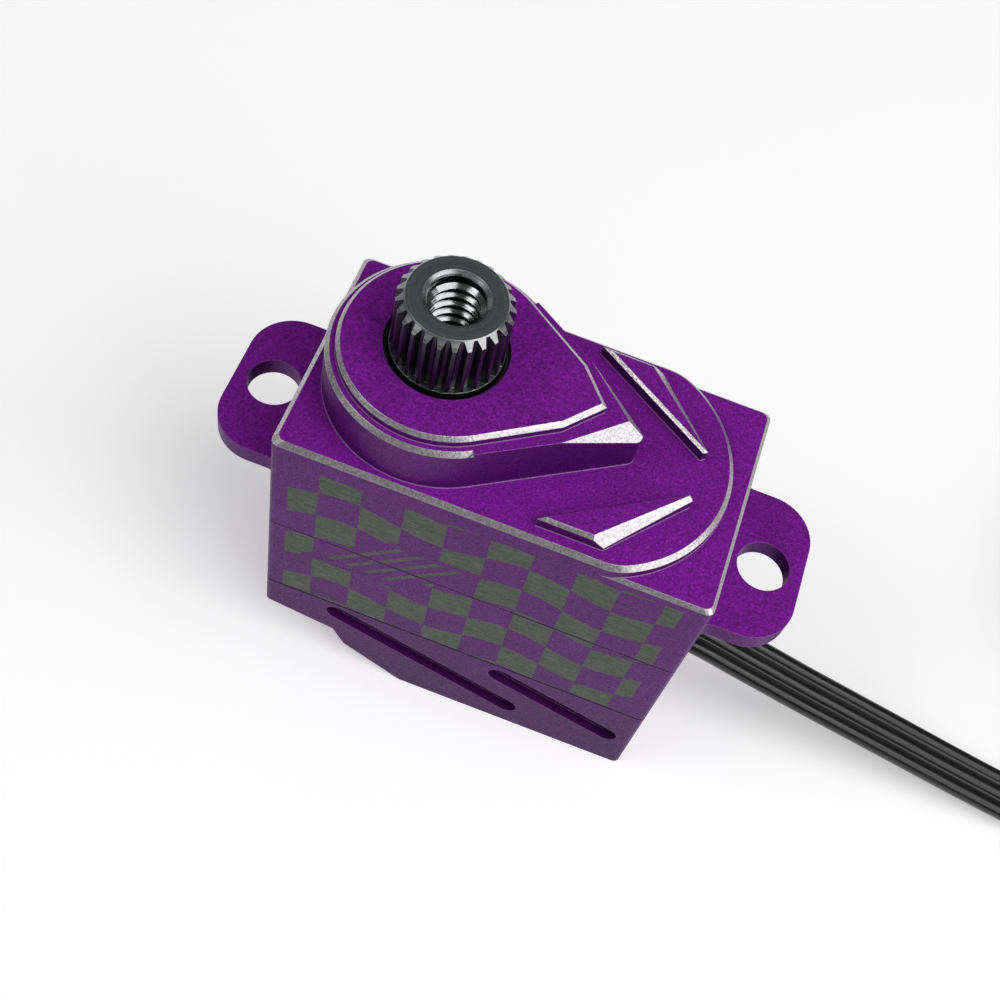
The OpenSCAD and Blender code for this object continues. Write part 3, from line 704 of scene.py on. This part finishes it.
def make_tie():
    """Narrow tie round both turns of the coil: a closed band with its head inside the coil."""
    wall, width = 0.28 * MM, 1.7 * MM
    lead_half, slack_above = 0.57 * MM, 0.37 * MM
    inner = COIL_INNER_R - lead_half - wall
    outer = COIL_R + lead_half + wall
    high = 2 * EDGE_Z + slack_above + wall
    tie = block("coil_tie", (inner, -width / 2, 0), (outer, width / 2, high))
    pick(tie, "edges", lambda e: abs((e.verts[0].co - e.verts[1].co).normalized().y) > 0.9)
    bpy.ops.mesh.bevel(offset=0.45 * MM, segments=4, affect="EDGES")
    bpy.ops.object.mode_set(mode="OBJECT")
    pick(tie, "faces", lambda f: abs(f.normal.y) > 0.9)
    bpy.ops.mesh.delete(type="FACE")
    bpy.ops.object.mode_set(mode="OBJECT")
    use_modifier(tie, "SOLIDIFY", thickness=wall, offset=-1)
    head = block("tie_head", (inner - 0.9 * MM, -1.05 * MM, 1.0 * MM),
                 (inner + 0.02 * MM, 1.05 * MM, 2.9 * MM))
    pick(head, "faces", lambda f: f.normal.z > 0.9)
    bpy.ops.mesh.inset(thickness=0.3 * MM)
    push((0, 0, -0.5 * MM))
    end = block("tie_end", (inner - 0.6 * MM, -width / 2 + 0.1 * MM, 2.4 * MM),
                (inner - 0.3 * MM, width / 2 - 0.1 * MM, high))
    clear_selection()
    for part in (head, end, tie):
        part.select_set(True)
    bpy.context.view_layer.objects.active = tie
    bpy.ops.object.join()
    use_modifier(tie, "BEVEL", width=0.06 * MM, segments=2, limit_method="ANGLE")
    finish_piece(tie)
    place_piece(tie, (COIL_CENTRE.x, COIL_CENTRE.y, 0), TIE_ANGLE)
    return tie


def make_connector_shell():
    """Three-way connector: sockets at the front, latch windows on top, an entry for the lead."""
    long, wide, high = 14.4 * MM, 7.7 * MM, 2.6 * MM
    pitch, socket, floor = 2.54 * MM, 1.6 * MM, 0.5 * MM
    window = (6.2 * MM, 8.6 * MM)
    front_depth, back_depth, window_depth = long - 4 * MM, 1.2 * MM, 0.42 * MM
    shell = block("connector_shell", (0, -wide / 2, 0), (long, wide / 2, high))
    ways = [i * pitch for i in (-1, 0, 1)]
    slice_at(1, [y + s * socket / 2 for y in ways for s in (-1, 1)])
    slice_at(2, [floor, floor + socket])
    slice_at(0, [1 * MM, *window])
    for y in ways:
        near, far = y - socket / 2, y + socket / 2
        pocket(shell, (1, 0, 0), (long, near, floor), (long, far, floor + socket), front_depth)
        pocket(shell, (0, 0, 1), (window[0], near, high), (window[1], far, high), window_depth)
        pocket(shell, (-1, 0, 0), (0, near, floor), (0, far, floor + socket), back_depth)
    use_modifier(shell, "BEVEL", width=0.12 * MM, segments=2, limit_method="ANGLE")
    finish_piece(shell)
    place_piece(shell, connector_place(), HEADING)
    return shell


class SERVO_OT_thread(bpy.types.Operator):
    """Thread inside the output shaft's hole, for the horn screw"""

    bl_idname = "servo.thread"
    bl_label = "Thread"

    def execute(self, context):
        values = context.scene.servo_shaft
        mouth, sunk, turned = 0.3 * MM, 0.02 * MM, 100
        clear_selection()
        bpy.ops.mesh.primitive_circle_add(vertices=4, radius=values.pitch / 2)
        thread = bpy.context.object
        thread.name = thread.data.name = "shaft_thread"
        root_half, crest_half = values.pitch * 0.36, values.pitch * 0.09
        corners = [(values.tap_r + sunk, -root_half), (values.crest_r, -crest_half),
                   (values.crest_r, crest_half), (values.tap_r + sunk, root_half)]
        for corner, (radius, height) in zip(thread.data.vertices, corners):
            corner.co = (radius, 0, height)
        use_modifier(thread, "SCREW", axis="Z", angle=2 * math.pi, screw_offset=-values.pitch,
                     iterations=values.turns, steps=72, render_steps=72, use_merge_vertices=False)
        run_in(thread, values)
        close_ends(thread)
        finish_piece(thread, angle=50)
        place_piece(thread, (SHAFT_X, 0, SHAFT_HIGH.z - mouth), turned)
        # Painted shade: the thread's steel is painted darker than the shaft's, for the shade inside the
        # hole
        steel = turned_steel("thread_steel", (0.25, 0.26, 0.26), 0.13)
        dress(thread, steel, "output")
        return {"FINISHED"}


def run_in(thread, values):
    """Makes the ridge's two ends rise out of the wall over some of its rings of corners."""
    ring, fade = 4, 54
    end_r = values.tap_r + 0.01 * MM
    rings = len(thread.data.vertices) // ring
    for index, corner in enumerate(thread.data.vertices):
        along = index // ring
        share = smooth_step(min(along, rings - 1 - along) / fade)
        radius = math.hypot(corner.co.x, corner.co.y)
        wanted = end_r + (radius - end_r) * share
        if radius < values.tap_r:
            corner.co.x *= wanted / radius
            corner.co.y *= wanted / radius


def close_ends(thing):
    pick(thing, "edges", lambda e: e.is_boundary)
    bpy.ops.mesh.edge_face_add()
    bpy.ops.object.mode_set(mode="OBJECT")


class SERVO_OT_case_finish(bpy.types.Operator):
    """Anodised, blasted and etched finish of the three case parts, their screws and seal"""

    bl_idname = "servo.case_finish"
    bl_label = "Case finish"

    def execute(self, context):
        put_on(anodised_metal(context.scene.servo_case), "upper_case", "middle_case", "bottom_cover")
        put_on(cut_metal("screw_steel", (0.3, 0.3, 0.31), 0.34), "case_screws")
        rubber = moulded_plastic("seal_rubber", (0.008, 0.008, 0.009), 0.45)
        put_on(rubber, "shaft_seal", "lead_grommet")
        return {"FINISHED"}


class SERVO_OT_gear_finish(bpy.types.Operator):
    """Steel and brass of the output shaft, its bearings and the gear train"""

    bl_idname = "servo.gear_finish"
    bl_label = "Gear finish"

    def execute(self, context):
        values = context.scene.servo_shaft
        put_on(turned_steel("output_steel", values.steel, 0.3, 0.16), "output_shaft")
        bearings = [f"{place}_bearing_{part}" for place in ("upper", "lower")
                    for part in ("outer", "inner", "balls")]
        put_on(turned_steel("bearing_steel", (0.62, 0.62, 0.63), 0.2), *bearings)
        brass = cut_metal("gear_brass", (0.78, 0.5, 0.18), 0.28)
        put_on(brass, "output_gear", "first_idler_wheel", "motor_pinion", "motor_bushing",
               "motor_commutator")
        steel = cut_metal("gear_steel", (0.42, 0.42, 0.43), 0.3)
        put_on(steel, "first_idler_pinion", "second_idler_wheel", "second_idler_pinion",
               "third_idler_wheel", "third_idler_pinion", "long_gear_pin", "short_gear_pin", "motor_shaft")
        return {"FINISHED"}


class SERVO_OT_motor_finish(bpy.types.Operator):
    """Finish of the motor, the position sensor and the electronics"""

    bl_idname = "servo.motor_finish"
    bl_label = "Motor and board finish"

    def execute(self, context):
        put_on(cut_metal("can_steel", (0.55, 0.55, 0.55), 0.32), "motor_can")
        put_on(moulded_plastic("magnet", (0.03, 0.03, 0.032), 0.55, grain=0.15 * MM), "motor_magnet")
        put_on(moulded_plastic("white_plastic", (0.72, 0.71, 0.67), 0.45), "motor_end_cap", "sensor_wiper")
        put_on(enamel_wire("copper", (0.75, 0.3, 0.12)), "motor_winding")
        put_on(cut_metal("copper_strip", (0.8, 0.38, 0.2), 0.3),
               "motor_brushes", "motor_terminals", "sensor_pins")
        put_on(moulded_plastic("black_plastic", (0.015, 0.015, 0.016), 0.5),
               "sensor_housing", "sensor_track", "controller_chip", "driver_chips")
        put_on(board_mask("board_laminate", (0.01, 0.09, 0.035)), "control_board")
        put_on(moulded_plastic("capacitor", (0.42, 0.3, 0.18), 0.4), "board_capacitors")
        put_on(moulded_plastic("wire_jacket", (0.01, 0.01, 0.011), 0.35), "lead_wire_ends")
        put_on(cut_metal("contact_metal", (0.82, 0.62, 0.26), 0.22), "connector_contacts")
        return {"FINISHED"}


class SERVO_OT_stage(bpy.types.Operator):
    """Pale floor, soft boxes and an even sky"""

    bl_idname = "servo.stage"
    bl_label = "Stage"

    def execute(self, context):
        values = context.scene.servo_stage
        clear_selection()
        bpy.ops.mesh.primitive_plane_add(size=6)
        floor = bpy.context.object
        floor.name = "floor"
        paint = Finish("floor_paint", Roughness=0.8, Specular_IOR_Level=0.2, Emission_Color=(1, 1, 1, 1),
                       Emission_Strength=values.glow)
        paint.set(Base_Color=paint.shade(values.floor, paint.vary(paint.noise(0.05), 0.99, 1.01)))
        floor.data.materials.append(paint.material)
        target = Vector((0, 0, 0.015))
        # Softboxes: place, width, and brightness as a share of the key's
        boxes = {
            "key": ((0.44, -0.13, 0.24), 0.5, 1.0),
            "top": ((0.2, -0.11, 0.5), 0.35, 1.6),
            "front": ((-0.03, -0.46, 0.3), 0.4, 0.06),
            "left": ((-0.46, 0.22, 0.1), 0.3, 0.12),
            "corner": ((-0.3, -0.16, 0.38), 0.2, 2.0),
        }
        for name, (place, size, share) in boxes.items():
            data = bpy.data.lights.new(name, "AREA")
            data.size = size
            data.energy = values.key * share * math.pi * size**2
            lamp = bpy.data.objects.new(name, data)
            lamp.location = place
            lamp.rotation_euler = (target - Vector(place)).to_track_quat("-Z", "Y").to_euler()
            context.scene.collection.objects.link(lamp)
        world = bpy.data.worlds.new("sky")
        world.use_nodes = True
        sky = world.node_tree.nodes["Background"]
        sky.inputs["Color"].default_value = (1, 1, 1, 1)
        sky.inputs["Strength"].default_value = values.sky
        context.scene.world = world
        context.scene.view_settings.view_transform = "Standard"
        return {"FINISHED"}


class SERVO_PT_looks(bpy.types.Panel):
    """Sizes, colours and steps of the servo's looks"""

    bl_idname = "SERVO_PT_looks"
    bl_label = "Servo"
    bl_space_type = "VIEW_3D"
    bl_region_type = "UI"
    bl_category = "Servo"

    def draw(self, context):
        for name in GROUPS:
            box = self.layout.box()
            group = getattr(context.scene, name)
            for key in group.bl_rna.properties.keys():
                if key not in ("rna_type", "name"):
                    box.prop(group, key)
        for step in STEPS:
            self.layout.operator(step.bl_idname)


GROUPS = {
    "servo_case": CaseValues,
    "servo_shaft": ShaftValues,
    "servo_lead": LeadValues,
    "servo_stage": StageValues,
}
STEPS = (
    SERVO_OT_camera, SERVO_OT_lead, SERVO_OT_thread, SERVO_OT_case_finish, SERVO_OT_gear_finish,
    SERVO_OT_motor_finish, SERVO_OT_stage,
)


def register():
    for made in (*GROUPS.values(), *STEPS, SERVO_PT_looks):
        bpy.utils.register_class(made)
    for name, group in GROUPS.items():
        setattr(bpy.types.Scene, name, bpy.props.PointerProperty(type=group))


def unregister():
    for name in GROUPS:
        delattr(bpy.types.Scene, name)
    for made in reversed((*GROUPS.values(), *STEPS, SERVO_PT_looks)):
        bpy.utils.unregister_class(made)


def main():
    register()
    bpy.ops.servo.camera()
    bpy.ops.servo.lead()
    bpy.ops.servo.thread()
    bpy.ops.servo.case_finish()
    bpy.ops.servo.gear_finish()
    bpy.ops.servo.motor_finish()
    bpy.ops.servo.stage()


if __name__ == "__main__":
    main()
